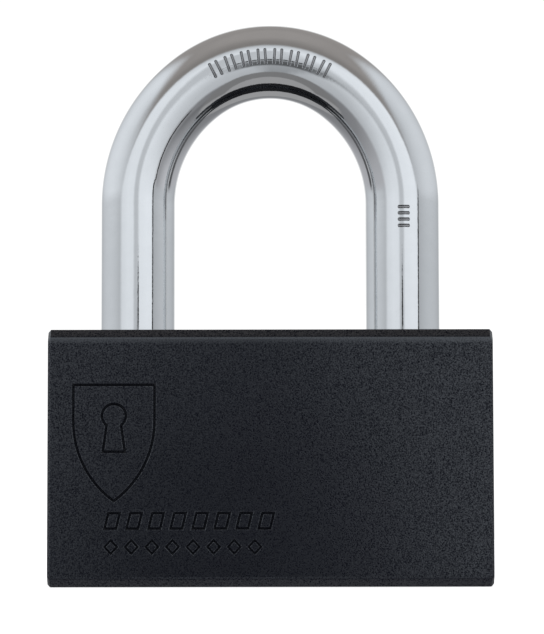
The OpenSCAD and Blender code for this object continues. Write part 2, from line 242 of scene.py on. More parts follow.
class Sky:
    """The direction that the studio is seen in, as node outputs: a unit vector, and turn and height."""

    def __init__(self, n):
        direction = n.add("ShaderNodeTexCoord").outputs["Generated"]
        self.x, self.y, self.z = n.add("ShaderNodeSeparateXYZ", {0: direction}).outputs
        turn = n.math("ARCTAN2", self.x, n.math("MULTIPLY", self.y, -1.0))
        self.turn = n.math("MULTIPLY", turn, 180 / math.pi)
        self.height = n.math("MULTIPLY", n.math("ARCSINE", self.z), 180 / math.pi)


def by_height(n, sky, stops):
    """A brightness that goes through the stops, which are (height, brightness)."""
    share = n.math("MULTIPLY_ADD", sky.height, 1 / 180, 0.5)
    return n.ramp(share, [(0.5 + height / 180, value) for height, value in stops])


def by_turn(n, sky, stops, top):
    """The same by turn, as a share of top."""
    share = n.math("MULTIPLY_ADD", sky.turn, 1 / 360, 0.5)
    return n.ramp(share, [(0.5 + turn / 360, value / top) for turn, value in stops])


def grey(value):
    return (value, value, value, 1)


def off(n, value, middle):
    """How far value is from middle, either way."""
    return n.math("ABSOLUTE", n.math("SUBTRACT", value, float(middle)))


def side_panel(n, sky, panel):
    """The share of a side panel in each direction, and its brightness. Its upper edge is an arch."""
    middle, bright, loss = panel
    away = n.math("DIVIDE", off(n, sky.turn, middle), float(PANEL_REACH))
    square = n.math("MULTIPLY", away, away)
    over = n.math("MULTIPLY_ADD", square, float(PANEL_DROP), sky.height)
    share = n.math("MULTIPLY", n.step(over, *PANEL_TOP), n.step(away, *PANEL_SIDE))
    share = n.math("MULTIPLY", share, n.step(sky.height, *PANEL_LOW))
    bright = n.math("MULTIPLY_ADD", square, -float(loss), float(bright))
    foot = n.math("MULTIPLY_ADD", n.step(sky.height, *FOOT_EDGE), 1 - PANEL_FOOT, PANEL_FOOT)
    return share, n.math("MULTIPLY", bright, foot)


def walls(n, sky):
    """The unlit walls and ceiling, with a panel and a dark streak at either side."""
    dim = by_height(n, sky, STUDIO_DIM)
    light = n.mix(n.step(sky.height, *CEILING_EDGE), n.tint(dim, WALL_TINT), n.tint(dim, CEILING_TINT))
    wall = n.mix(1.0, dim, by_turn(n, sky, WALL_ROUND, WALL_TOP), "MULTIPLY")
    wall = n.tint(wall, [WALL_TOP * t for t in WALL_TINT])
    light = n.mix(n.step(sky.height, *WALL_EDGE), light, wall)
    streak = n.step(off(n, n.math("ABSOLUTE", sky.turn), STREAK_AT), *STREAK_SIDE)
    streak = n.math("MULTIPLY", streak, n.step(sky.height, *STREAK_EDGE))
    light = n.mix(streak, light, n.tint(STREAK_DARK, WALL_TINT))
    for panel in (LEFT_PANEL, RIGHT_PANEL):
        share, bright = side_panel(n, sky, panel)
        light = n.mix(share, light, n.tint(bright, PANEL_TINT))
    return light


def add_diffuser(n, sky, light):
    """The round diffuser behind the camera, with its dark rim and the soft line down its middle."""
    half_width = n.math("MULTIPLY_ADD", n.step(sky.height, *TAPER_EDGE), -FRONT_TAPER, FRONT_HALF_WIDTH)
    wide = n.math("DIVIDE", n.math("ADD", sky.x, FRONT_SHIFT), half_width)
    tall = n.math("DIVIDE", sky.z, FRONT_HALF_HEIGHT)
    reach = n.math("ADD", n.math("POWER", wide, 2.0), n.math("POWER", tall, 2.0))
    facing = n.step(sky.y, *FACING_EDGE)
    rim = n.math("MULTIPLY", n.step(reach, *RIM_EDGE), facing)
    rim = n.math("MULTIPLY", rim, n.step(sky.height, *RIM_HEIGHT))
    light = n.mix(rim, light, n.tint(float(RIM_DARK), CEILING_TINT))
    bright = by_height(n, sky, FRONT_BY_HEIGHT)
    bright = n.mix(1.0, bright, by_turn(n, sky, FRONT_ROUND, FRONT_TOP), "MULTIPLY")
    front = n.tint(bright, [FRONT_TOP * t for t in PANEL_TINT])
    light = n.mix(n.math("MULTIPLY", n.step(reach, *FRONT_EDGE), facing), light, front)
    crease = n.step(off(n, sky.turn, CREASE_AT), *CREASE_SIDE)
    crease = n.math("MULTIPLY", crease, n.step(sky.height, *CREASE_EDGE))
    return n.mix(crease, light, n.mix(1.0, light, grey(CREASE_GREY), "MULTIPLY"))


def add_gap(n, sky, light):
    """The thin dark gap at the diffuser's right edge."""
    slanted = n.math("MULTIPLY_ADD", sky.height, GAP_SLANT, GAP_TURN)
    above = n.step(sky.height, *GAP_BEND)
    middle = n.math("MULTIPLY_ADD", above, GAP_TOP_TURN - GAP_TURN, slanted)
    gap = n.step(n.math("ABSOLUTE", n.math("SUBTRACT", sky.turn, middle)), *GAP_SIDE)
    gap = n.math("MULTIPLY", gap, n.step(sky.height, *GAP_TOP))
    gap = n.math("MULTIPLY", gap, n.step(sky.height, *GAP_FOOT))
    return n.mix(gap, light, grey(GAP_DARK))


def add_backdrop_and_ground(n, sky, light):
    behind = n.math("MULTIPLY_ADD", sky.z, BACKDROP_UP, n.math("MULTIPLY", sky.y, BACKDROP_BACK))
    light = n.mix(n.step(behind, *BACKDROP_EDGE), light, grey(1.0))
    band = n.math(
        "MULTIPLY", n.step(sky.height, *BAND_EDGE), n.step(n.math("ABSOLUTE", sky.turn), *BAND_SIDE)
    )
    ground = n.mix(band, grey(GROUND_LIGHT), grey(GROUND_DARK))
    return n.mix(n.step(sky.height, *GROUND_EDGE), light, n.tint(ground, GROUND_TINT))


def make_studio():
    """All the light comes from the world. The camera sees it as a white page."""
    world = bpy.data.worlds.new("studio")
    bpy.context.scene.world = world
    world.use_nodes = True
    n = Nodes(world.node_tree)
    sky = Sky(n)
    light = walls(n, sky)
    light = add_diffuser(n, sky, light)
    light = add_gap(n, sky, light)
    light = add_backdrop_and_ground(n, sky, light)
    seen = n.add("ShaderNodeLightPath").outputs["Is Camera Ray"]
    lit = n.add("ShaderNodeBackground", {"Color": light, "Strength": 1.0})
    white = n.add("ShaderNodeBackground", {"Color": (1, 1, 1, 1), "Strength": PAGE_WHITE})
    both = n.add("ShaderNodeMixShader", {0: seen, 1: lit.outputs[0], 2: white.outputs[0]})
    n.add("ShaderNodeOutputWorld", {"Surface": both.outputs[0]})


def stage_sheet(name, corners, material):
    """A flat four-cornered sheet that belongs to the studio."""
    mesh = bpy.data.meshes.new(name)
    mesh.from_pydata([Vector(c) * MM for c in corners], [], [(0, 1, 2, 3)])
    mesh.materials.append(material)
    sheet = bpy.data.objects.new(name, mesh)
    bpy.context.scene.collection.objects.link(sheet)
    return sheet


FLOOR_HALF = 4000
# The floor lies this much below the padlock's underside
FLOOR_GAP = 0.05


def make_floor():
    """A wide pale floor. It glows a little, so that it is as white as the background."""
    material, n = new_material("floor")
    paper = n.add("ShaderNodeBsdfPrincipled", {
        "Base Color": (0.9, 0.9, 0.9, 1), "Roughness": 0.9, "Specular IOR Level": 0.1,
        "Emission Color": (1, 1, 1, 1), "Emission Strength": 0.72,
    })
    n.add("ShaderNodeOutputMaterial", {"Surface": paper.outputs[0]})
    half, low = FLOOR_HALF, -FLOOR_GAP
    corners = [(-half, -half, low), (half, -half, low), (half, half, low), (-half, half, low)]
    stage_sheet("floor", corners, material).visible_glossy = False


CARD_Y = -600
CARD_HALF, CARD_LOW, CARD_HIGH = 160, -120, 150
# The slit: its middle is at x = 0. Each pair is where an edge begins and ends.
SLIT_SIDE, SLIT_FOOT, SLIT_TOP = (23, 15), (88, 100), (134, 114)
# The stand: where it is, how much wider it grows as it goes down, and from what height
STAND_X, STAND_SPREAD, STAND_SHOULDER = -14, 0.32, 96
STAND_SIDE, STAND_FOOT, STAND_TOP = (76, 4), (-110, -40), (128, 40)
STAND_DARK = 0.78
CARD_BLACK = 0.02


def make_dark_card():
    """What stands in front of the diffuser: the camera's dark outline, low and wide, and a slit above."""
    material, n = new_material("dark_card")
    point = n.add("ShaderNodeTexCoord").outputs["Object"]
    xyz = n.add("ShaderNodeSeparateXYZ", {0: point}).outputs
    across = n.math("DIVIDE", xyz[0], MM)
    up = n.math("DIVIDE", xyz[2], MM)
    slit = n.math("MULTIPLY", n.step(off(n, across, 0), *SLIT_SIDE), n.step(up, *SLIT_TOP))
    slit = n.math("MULTIPLY", slit, n.step(up, *SLIT_FOOT))
    below = n.math("MAXIMUM", n.math("SUBTRACT", float(STAND_SHOULDER), up), 0.0)
    aside = n.math("MULTIPLY_ADD", below, -STAND_SPREAD, off(n, across, STAND_X))
    stand = n.math("MULTIPLY", n.step(aside, *STAND_SIDE), n.step(up, *STAND_TOP))
    stand = n.math("MULTIPLY", n.math("MULTIPLY", stand, n.step(up, *STAND_FOOT)), STAND_DARK)
    dark = n.math("MAXIMUM", slit, stand)
    clear = n.add("ShaderNodeBsdfTransparent")
    black = n.add("ShaderNodeEmission", {"Color": grey(CARD_BLACK), "Strength": 1.0})
    both = n.add("ShaderNodeMixShader", {0: dark, 1: clear.outputs[0], 2: black.outputs[0]})
    n.add("ShaderNodeOutputMaterial", {"Surface": both.outputs[0]})
    corners = [
        (-CARD_HALF, CARD_Y, CARD_LOW), (CARD_HALF, CARD_Y, CARD_LOW),
        (CARD_HALF, CARD_Y, CARD_HIGH), (-CARD_HALF, CARD_Y, CARD_HIGH),
    ]
    card = stage_sheet("dark_card", corners, material)
    card.visible_camera = False
    card.visible_diffuse = False
    card.visible_shadow = False


# ---------------------------------------------------------------- materials


def new_material(name):
    material = bpy.data.materials.new(name)
    material.use_nodes = True
    return material, Nodes(material.node_tree)


def place(n):
    """The point on the object, in millimetres."""
    point = n.add("ShaderNodeTexCoord").outputs["Object"]
    mapping = n.add("ShaderNodeMapping", {"Vector": point})
    mapping.inputs["Scale"].default_value = [1 / MM] * 3
    return mapping.outputs[0]


def place_mm(n):
    """The point's x, y and z, in millimetres."""
    point = n.add("ShaderNodeTexCoord").outputs["Object"]
    return [n.math("DIVIDE", c, MM) for c in n.add("ShaderNodeSeparateXYZ", {0: point}).outputs]


def noise(n, scale, detail, **settings):
    """Noise with so many lumps per millimetre."""
    inputs = {"Vector": place(n), "Scale": scale, "Detail": detail, **settings}
    return n.add("ShaderNodeTexNoise", inputs).outputs[0]


def bumps(n, height, depth, **settings):
    """A bump map of the given depth in millimetres."""
    inputs = {"Height": height, "Strength": 1.0, "Distance": depth * MM, **settings}
    return n.add("ShaderNodeBump", inputs).outputs[0]


# How deep below the front face the painted shade in the marks begins, and how deep it is full
MARK_SHADE_EDGE = (0.04, 0.2)
# The marks are shallower than this, and no farther than this from the face's middle
MARKS_WITHIN = 1.0
MARKS_HALF_WIDTH, MARKS_HALF_HEIGHT = 44.0, 23.0


def in_marks(n):
    """1 inside the marks pressed into the front face, where painted shade darkens and dulls the coat, and
    0 elsewhere.
    """
    x, y, z = place_mm(n)
    depth = n.math("SUBTRACT", y, FRONT_Y)
    deep = n.math("MULTIPLY", n.step(depth, *MARK_SHADE_EDGE), n.math("LESS_THAN", depth, MARKS_WITHIN))
    aside = n.math("LESS_THAN", n.math("ABSOLUTE", x), MARKS_HALF_WIDTH)
    above = n.math("LESS_THAN", off(n, z, (BODY_LO.z + BODY_HI.z) / 2), MARKS_HALF_HEIGHT)
    return n.math("MULTIPLY", deep, n.math("MULTIPLY", aside, above))


# How much shinier the coat is along the upper edges, partly rubbed smooth and partly a painted highlight,
# and where that begins and ends, from the edge up
EDGE_SHINE_AND_HIGHLIGHT = 0.6
RUB_AND_HIGHLIGHT_FROM, RUB_AND_HIGHLIGHT_TO = (-1.6, -0.5), (0.15, -0.2)


def along_rubbed_highlit_edges(n):
    """1 along the upper edges of the front and the back, where hands have rubbed the coat smooth and the
    extra shine is partly a painted highlight.
    """
    above = n.math("SUBTRACT", place_mm(n)[2], BODY_HI.z - CHAMFER)
    return n.math("MULTIPLY", n.step(above, *RUB_AND_HIGHLIGHT_FROM), n.step(above, *RUB_AND_HIGHLIGHT_TO))


COAT_COLOURS = [(0.3, (0.0044, 0.0050, 0.0082)), (0.7, (0.0054, 0.0060, 0.0096))]
# The colour of the painted shade inside the marks
MARK_SHADE_COLOUR = (0.0030, 0.0033, 0.0048, 1)
COAT_ROUGH = [(0.3, 0.21), (0.7, 0.13)]
# Shine by the grain's height: none in its pits, which is painted shade there
COAT_SHINE_AND_PIT_SHADE = [(0.3, 0.0), (0.7, 0.9)]
# How much of the coat's shine the painted shade in the marks takes away
MARK_SHADE = 0.75
GRAIN_SCALE, GRAIN_DEPTH = 3.5, 0.01


def powder_coat():
    """Black satin powder coat. Its fine grain shines on top, with painted shade dulling the pits between
    and darkening and dulling the marks. Its upper edges shine more, partly rubbed and partly a painted
    highlight.
    """
    material, n = new_material("black_powder_coat")
    grain = noise(n, GRAIN_SCALE, 1.0, Roughness=0.5)
    marks = in_marks(n)
    # Painted shade: a darker colour and less shine inside the marks
    colour = n.mix(marks, n.ramp(noise(n, 0.05, 2.0), COAT_COLOURS), MARK_SHADE_COLOUR)
    unshaded_share = n.math("MULTIPLY_ADD", marks, -MARK_SHADE, 1.0)
    # The shine is cut in the grain's pits and in the marks, painted shade, and raised along the upper
    # edges, a painted highlight
    shine_with_painted_light = n.math("MULTIPLY", n.ramp(grain, COAT_SHINE_AND_PIT_SHADE), unshaded_share)
    # Painted highlight along the upper edges, partly from the rubbed coat
    shine_with_painted_light = n.math("ADD", shine_with_painted_light, n.math("MULTIPLY", along_rubbed_highlit_edges(n), EDGE_SHINE_AND_HIGHLIGHT), clamp=True)
    shader = n.add("ShaderNodeBsdfPrincipled", {
        "Base Color": colour, "Roughness": n.ramp(grain, COAT_ROUGH), "IOR": 1.5,
        "Normal": bumps(n, grain, GRAIN_DEPTH),
        "Specular IOR Level": shine_with_painted_light, "Specular Tint": (0.9, 0.95, 1.0, 1),
    })
    n.add("ShaderNodeOutputMaterial", {"Surface": shader.outputs[0]})
    return material


# Stamps on the crown reach this far round from its top, and those on the leg lie between these heights
STAMPS_REACH = math.tan(math.radians(31))
LEG_STAMPS_LOW, LEG_STAMPS_HIGH = 74.0, 82.0
# How deep below the bar's surface the stamps begin to turn darker and rougher, and how deep they are fully
# so
STAMP_FLOOR_EDGE = (0.03, 0.15)


def in_stamps(n):
    """1 inside the stamps of the crown and of the leg, and 0 elsewhere on the bar."""
    x, y, z = place_mm(n)
    side = n.math("ABSOLUTE", x)
    flat = n.math("MULTIPLY", y, y)
    rise = n.math("SUBTRACT", z, CROWN_Z)
    from_centre = n.math("SQRT", n.math("ADD", n.math("MULTIPLY", x, x), n.math("MULTIPLY", rise, rise)))
    off_crown = n.math("SUBTRACT", from_centre, CROWN_R)
    off_leg = n.math("SUBTRACT", side, LEG_X)
    on_crown = n.math("LESS_THAN", side, n.math("MULTIPLY", rise, STAMPS_REACH))
    above = n.math("GREATER_THAN", z, LEG_STAMPS_LOW)
    on_leg = n.math("MULTIPLY", above, n.math("LESS_THAN", z, LEG_STAMPS_HIGH))
    deep = []
    for away, where in ((off_crown, on_crown), (off_leg, on_leg)):
        reach = n.math("SQRT", n.math("MULTIPLY_ADD", away, away, flat))
        depth = n.math("SUBTRACT", BAR_R, reach)
        deep.append(n.math("MULTIPLY", n.step(depth, *STAMP_FLOOR_EDGE), where))
    return n.math("MAXIMUM", *deep)


CHROME_COLOURS = [(0.3, (0.69, 0.705, 0.715)), (0.7, (0.71, 0.725, 0.735))]
CHROME_ROUGH = [(0.35, 0.03), (0.7, 0.07)]
# The colour and roughness of the stamps' floors
STAMP_FLOOR_COLOUR, STAMP_FLOOR_ROUGH = (0.34, 0.34, 0.345, 1), 0.22
RIPPLE_SCALE, RIPPLE_DEPTH = 0.35, 0.012
PIT_SCALE, PIT_DEPTH = 2.2, 0.0025


def chrome():
    """Polished hard chrome: a slight ripple from the polishing, fine pits, and darker, rougher floors in
    the stamps.
    """
    material, n = new_material("hard_chrome")
    ripple = noise(n, RIPPLE_SCALE, 2.0)
    pits = noise(n, PIT_SCALE, 3.0)
    normal = bumps(n, pits, PIT_DEPTH, Normal=bumps(n, ripple, RIPPLE_DEPTH))
    # Darker and rougher towards the stamps' floors
    stamp_floor = in_stamps(n)
    shader = n.add("ShaderNodeBsdfPrincipled", {
        "Base Color": n.mix(stamp_floor, n.ramp(ripple, CHROME_COLOURS), STAMP_FLOOR_COLOUR),
        "Roughness": n.mix(stamp_floor, n.ramp(pits, CHROME_ROUGH), grey(STAMP_FLOOR_ROUGH)),
        "Normal": normal, "Metallic": 1.0,
    })
    n.add("ShaderNodeOutputMaterial", {"Surface": shader.outputs[0]})
    return material


STAINED = 0.82
LINE_SCALE, STAIN_SCALE = 2.0, 0.12


def metal(name, colour, roughness, relief=0.004):
    """Machined or plated metal, with a fine uneven surface and wide, faint stains."""
    material, n = new_material(name)
    lines = noise(n, LINE_SCALE, 4.0)
    stained = tuple(STAINED * c for c in colour)
    tone = n.ramp(noise(n, STAIN_SCALE, 3.0), [(0.35, stained), (0.65, colour)])
    rough = n.ramp(lines, [(0.3, max(roughness * 0.75, 0.02)), (0.7, roughness * 1.2)])
    shader = n.add("ShaderNodeBsdfPrincipled", {
        "Base Color": tone, "Roughness": rough, "Normal": bumps(n, lines, relief), "Metallic": 1.0,
    })
    n.add("ShaderNodeOutputMaterial", {"Surface": shader.outputs[0]})
    return material


# ---------------------------------------------------------------- mesh helpers


def solid(name, points, faces):
    """A mesh object, still in millimetres, with its faces turned outwards."""
    mesh = bpy.data.meshes.new(name)
    mesh.from_pydata(points, [], faces)
    bm = bmesh.new()
    bm.from_mesh(mesh)
    bmesh.ops.recalc_face_normals(bm, faces=bm.faces)
    bm.to_mesh(mesh)
    bm.free()
    obj = bpy.data.objects.new(name, mesh)
    bpy.context.scene.collection.objects.link(obj)
    return obj


def loft(name, rings, looped=False):
    """A closed skin over rings of equally many points. If looped, the last ring joins the first."""
    count = len(rings[0])
    faces = []
    for i in range(len(rings) if looped else len(rings) - 1):
        a = i * count
        b = (i + 1) % len(rings) * count
        for k in range(count):
            m = (k + 1) % count
            faces.append((a + k, a + m, b + m, b + k))
    if not looped:
        last = (len(rings) - 1) * count
        faces.append(tuple(range(count)))
        faces.append(tuple(last + k for k in range(count)))
    return solid(name, [p for ring in rings for p in ring], faces)


def circle(centre, radius, a, b, count):
    """Points round centre in the plane of a and b."""
    turns = (2 * math.pi * k / count for k in range(count))
    return [centre + radius * (math.cos(t) * a + math.sin(t) * b) for t in turns]


X, Y, Z = Vector((1, 0, 0)), Vector((0, 1, 0)), Vector((0, 0, 1))


def turned(name, base, axis, profile, count=96):
    """A solid of revolution. profile is (distance along axis, radius)."""
    side = axis.orthogonal().normalized()
    other = axis.cross(side)
    return loft(name, [circle(base + h * axis, r, side, other, count) for h, r in profile])


BALL_RINGS = 32


def ball_shape(name, centre, radius):
    profile = []
    for k in range(1, BALL_RINGS):
        t = math.pi * k / BALL_RINGS
        profile.append((-radius * math.cos(t), radius * math.sin(t)))
    return turned(name, centre, Y, profile, 2 * BALL_RINGS)


def cut(obj, cutters):
    """Takes the cutters out of obj, and deletes them."""
    for cutter in cutters:
        modifier = obj.modifiers.new(cutter.name, "BOOLEAN")
        modifier.operation = "DIFFERENCE"
        modifier.solver = "EXACT"
        modifier.object = cutter
    graph = bpy.context.evaluated_depsgraph_get()
    mesh = bpy.data.meshes.new_from_object(obj.evaluated_get(graph))
    obj.modifiers.clear()
    obj.data = mesh
    for cutter in cutters:
        bpy.data.objects.remove(cutter)


# Faces that meet at less than this angle, kept as its cosine, are shaded as one surface
CREASE = math.cos(math.radians(38))


def shade(obj, exact=None):
    """Sets each corner's normal: the exact one where the surface has one, else the neighbours' mean."""
    mesh = obj.data
    faces = mesh.polygons
    faces.foreach_set("use_smooth", [True] * len(faces))
    on_surface = [exact(v.co) if exact else None for v in mesh.vertices]
    around = [[] for _ in mesh.vertices]
    curved = []
    for face in faces:
        known = [on_surface[v] for v in face.vertices]
        is_exact = all(k is not None and k.dot(face.normal) > CREASE for k in known)
        curved.append(is_exact)
        for v in face.vertices:
            if not is_exact:
                around[v].append((face.normal.copy(), face.area))
    corners = [None] * len(mesh.loops)
    for face in faces:
        for loop, v in zip(face.loop_indices, face.vertices):
            if curved[face.index]:
                corners[loop] = on_surface[v]
                continue
            near = [area * normal for normal, area in around[v] if normal.dot(face.normal) > CREASE]
            corners[loop] = sum(near, Vector()).normalized()
    mesh.normals_split_custom_set(corners)


def finish_piece(obj, body, node, slot, exact=None):
    """Turns a mesh into metres, shades it, and lets it stand for a CAD node."""
    shade(obj, exact)
    obj.data.transform(Matrix.Scale(MM, 4))
    obj.data.materials.clear()
    obj.data.materials.append(MATERIALS[slot])
    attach(obj, body)
    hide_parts(node)


# ---------------------------------------------------------------- shackle


LEG_STEPS = 8
# A point this close to the bar's true surface counts as on it
ON_SURFACE = 0.03


def bend_stations(centre_x, centre_z, radius, start, end, steps):
    """Points of an arc of the centre line, each with its outward direction."""
    found = []
    for k in range(steps + 1):
        t = start + (end - start) * k / steps
        out = Vector((math.cos(t), 0, math.sin(t)))
        found.append((Vector((centre_x, 0, centre_z)) + radius * out, out, BAR_R))
    return found


def leg_stations(x, end_z):
    """Points of a leg from its end up, each with its outward direction and the bar's radius."""
    out = X if x > 0 else -X
    heights = [end_z, end_z + LEG_CHAMFER]
    straight = BEND_Z - end_z - LEG_CHAMFER
    heights += [end_z + LEG_CHAMFER + straight * k / LEG_STEPS for k in range(1, LEG_STEPS)]
    radii = [BAR_R - LEG_CHAMFER] + [BAR_R] * (len(heights) - 1)
    return [(Vector((x, 0, z)), out, r) for z, r in zip(heights, radii)]


def bar_normal(point):
    """The bar's normal at a point on its surface, or None off it."""
    side = 1 if point.x > 0 else -1
    if point.z < BEND_Z:
        centre = Vector((side * LEG_X, 0, point.z))
    else:
        middle, radius = Vector((side * (LEG_X - FLANK_R), 0, BEND_Z)), FLANK_R
        if abs(point.x) <= (point.z - CROWN_Z) * math.tan(CROWN_HALF):
            middle, radius = Vector((0, 0, CROWN_Z)), CROWN_R
        flat = Vector((point.x, 0, point.z)) - middle
        centre = middle + radius * flat.normalized()
    normal = point - centre
    return normal.normalized() if abs(normal.length - BAR_R) < ON_SURFACE else None


# A stamped groove: how far each point of its section lies across, and above the surface. Its stations
# are (share of its half length, share of its width).
STAMP_SECTION = [
    (-0.56, 0.25), (-0.4, 0.02), (-0.32, -0.05), (-0.1, -0.27), (0.1, -0.27), (0.32, -0.05), (0.4, 0.02),
    (0.56, 0.25),
]
STAMP_STATIONS = [(-1, 0.4), (-0.88, 1), (-0.45, 1), (0, 1), (0.45, 1), (0.88, 1), (1, 0.4)]


def stamped(name, middle, along, across, half):
    """A groove in the front of the bar, as deep all the way along, with tapered ends."""
    rings = []
    for share, width in STAMP_STATIONS:
        offset = share * half
        surface = math.sqrt(BAR_R ** 2 - offset ** 2)
        base = middle + offset * along
        rings.append([base + width * t * across - (surface + h) * Y for t, h in STAMP_SECTION])
    return loft(name, rings)


STAMP_PAIRS = 8
STAMP_TURN = math.radians(7.6)
STAMP_HALF_PITCH = 0.75
STAMP_HALF = 1.8
LEG_STAMPS = 4
LEG_STAMP_Z = 76.85
LEG_STAMP_PITCH = 1.35
LEG_STAMP_HALF = 1.3


def bar_stamps():
    """Eight pairs of bars round the crown, and four short bars across the right leg."""
    cutters = []
    for i in range(STAMP_PAIRS):
        t = (i - (STAMP_PAIRS - 1) / 2) * STAMP_TURN
        along = Vector((math.sin(t), 0, math.cos(t)))
        across = Vector((math.cos(t), 0, -math.sin(t)))
        for side in (-1, 1):
            middle = CROWN_Z * Z + CROWN_R * along + side * STAMP_HALF_PITCH * across
            cutters.append(stamped(f"stamp_{i}_{side}", middle, along, across, STAMP_HALF))
    for i in range(LEG_STAMPS):
        middle = Vector((LEG_X, 0, LEG_STAMP_Z + i * LEG_STAMP_PITCH))
        cutters.append(stamped(f"leg_stamp_{i}", middle, X, Z, LEG_STAMP_HALF))
    return cutters


# The pockets that the balls stand in, the groove that the heel ball runs in, and the ring groove below
POCKET_R = 6.5
GROOVE_X = -15.6
RING_R = 12.9
FLANK_STEPS, CROWN_STEPS = 48, 60
BAR_SIDES, RING_SIDES = 96, 48


def shackle_piece():
    flank = math.pi / 2 - CROWN_HALF
    flank_x = LEG_X - FLANK_R
    stations = leg_stations(LEG_X, TOE_END)
    stations += bend_stations(flank_x, BEND_Z, FLANK_R, 0, flank, FLANK_STEPS)
    stations += bend_stations(0, CROWN_Z, CROWN_R, flank, math.pi - flank, CROWN_STEPS)[1:]
    stations += bend_stations(-flank_x, BEND_Z, FLANK_R, math.pi - flank, math.pi, FLANK_STEPS)[1:]
    stations += reversed(leg_stations(-LEG_X, HEEL_END))
    bar = loft("shackle_bar", [circle(c, r, out, -Y, BAR_SIDES) for c, out, r in stations])

    heel = Vector((-LEG_X, 0, BALL_Z - LIFT))
    spokes = circle(Vector(), 1, X, Y, BAR_SIDES)
    tube = [circle(heel + RING_R * s, POCKET_R, s, Z, RING_SIDES) for s in spokes]
    cutters = [
        ball_shape("toe_pocket", Vector((BALL_X, 0, BALL_Z)), POCKET_R),
        ball_shape("heel_pocket", Vector((-BALL_X, 0, BALL_Z)), POCKET_R),
        turned("heel_groove", Vector((GROOVE_X, 0, heel.z)), Z, [(0, POCKET_R), (LIFT, POCKET_R)]),
        loft("ring", tube, looped=True),
    ]
    cut(bar, cutters + bar_stamps())
    finish_piece(bar, "shackle", "shackle", "hard_chrome", bar_normal)


# ---------------------------------------------------------------- padlock block

# The ends' edges are broken by BREAK. Bends beside the front and back are rounder than the others.
BREAK = 0.6
FACE_EDGE_R = 1.3
EDGE_R = 0.28
EDGE_STEPS = 6
# Half the turn of each bend of a chamfered corner
HALF_TURN = math.radians(22.5)


def corner_path(wide, tall, chamfer, first_r, last_r):
    """A chamfered corner from the wide side round to the top, with both of its bends rounded."""
    path = []
    for start, radius, at in (
        (0, first_r, (wide, tall - chamfer)), (45, last_r, (wide - chamfer, tall)),
    ):
        back = radius * math.tan(HALF_TURN)
        angle = math.radians(start)
        centre = Vector(at) - Vector((radius * math.cos(angle), radius * math.sin(angle)))
        centre -= back * Vector((-math.sin(angle), math.cos(angle)))
        for k in range(EDGE_STEPS + 1):
            t = angle + 2 * HALF_TURN * k / EDGE_STEPS
            path.append(centre + radius * Vector((math.cos(t), math.sin(t))))
    return path


def rounded_block():
    """The chamfered block, drawn as sections along its length that grow narrower at its ends."""
    middle = (BODY_LO + BODY_HI) / 2
    half = (BODY_HI - BODY_LO) / 2
    quarter = corner_path(half.y, half.z, CHAMFER, FACE_EDGE_R, EDGE_R)
    section = quarter + [Vector((-y, z)) for y, z in reversed(quarter)]
    section += [Vector((-y, -z)) for y, z in quarter] + [Vector((y, -z)) for y, z in reversed(quarter)]
    end = [(p.x - half.x, half.y - p.y) for p in corner_path(half.x, half.y, BREAK, EDGE_R, EDGE_R)]
    stations = [(half.x + back, inset) for back, inset in end]
    stations += [(-x, inset) for x, inset in reversed(stations)]
    rings = []
    for x, inset in stations:
        y_share, z_share = 1 - inset / half.y, 1 - inset / half.z
        rings.append([middle + Vector((x, y * y_share, z * z_share)) for y, z in section])
    return loft("padlock_block", rings)


# ---- marks in the front ----

# Widths of the pressed lines
SHIELD_LINE, BLOCK_LINE, RHOMB_LINE = 0.66, 0.6, 0.5
# The shield: where it is, its half width, its height above that point, and how far from its middle
# its arcs' centres lie
SHIELD_AT = (-32.8, 34.6)
SHIELD_HALF, SHIELD_RISE, SHIELD_BOW = 8.5, 7.7, 12
ARC_STEPS = 12
# The keyhole inside it: its eye's radius and height, and the stem's half widths at its top and its
# foot, and the height of its foot
EYE_R, EYE_Z = 2.5, 1.2
STEM_TOP, STEM_FOOT, STEM_LOW = 1.4, 2.3, -6.3
EYE_STEPS = 28
# Two rows of small marks: where each starts, its spacing, and the size of one mark
ROW_COUNT = 8
BLOCK_START, BLOCK_PITCH = (-35.0, 12.0), 4.6
BLOCK_SIZE, BLOCK_SLANT, BLOCK_INSET = (2.9, 3.7), 0.9, 0.25
RHOMB_START, RHOMB_PITCH = (-33.4, 8.4), 4.3
RHOMB_SIZE = (2.6, 2.8)


def shield_path():
    """Straight sides above the centre, and two arcs that meet at the tip below."""
    radius = SHIELD_BOW + SHIELD_HALF
    sweep = math.acos(SHIELD_BOW / radius)
    turns = [sweep * k / ARC_STEPS for k in range(ARC_STEPS + 1)]
    arc = [(radius * math.cos(t) - SHIELD_BOW, -radius * math.sin(t)) for t in turns]
    left = [(-x, z) for x, z in reversed(arc[:-1])]
    return [(-SHIELD_HALF, SHIELD_RISE), (SHIELD_HALF, SHIELD_RISE)] + arc + left


def keyhole_path():
    """A round eye over a flared stem. The stem's sides meet the eye where both are as far out."""
    flare = (STEM_FOOT - STEM_TOP) / STEM_LOW
    a = 1 + flare ** 2
    b = 2 * (STEM_TOP * flare - EYE_Z)
    c = STEM_TOP ** 2 + EYE_Z ** 2 - EYE_R ** 2
    meet_z = (-b - math.sqrt(b * b - 4 * a * c)) / (2 * a)
    start = math.atan2(meet_z - EYE_Z, STEM_TOP + flare * meet_z)
    turns = [start + (math.pi - 2 * start) * k / EYE_STEPS for k in range(EYE_STEPS + 1)]
    eye = [(EYE_R * math.cos(t), EYE_Z + EYE_R * math.sin(t)) for t in turns]
    return eye + [(-STEM_FOOT, STEM_LOW), (STEM_FOOT, STEM_LOW)]


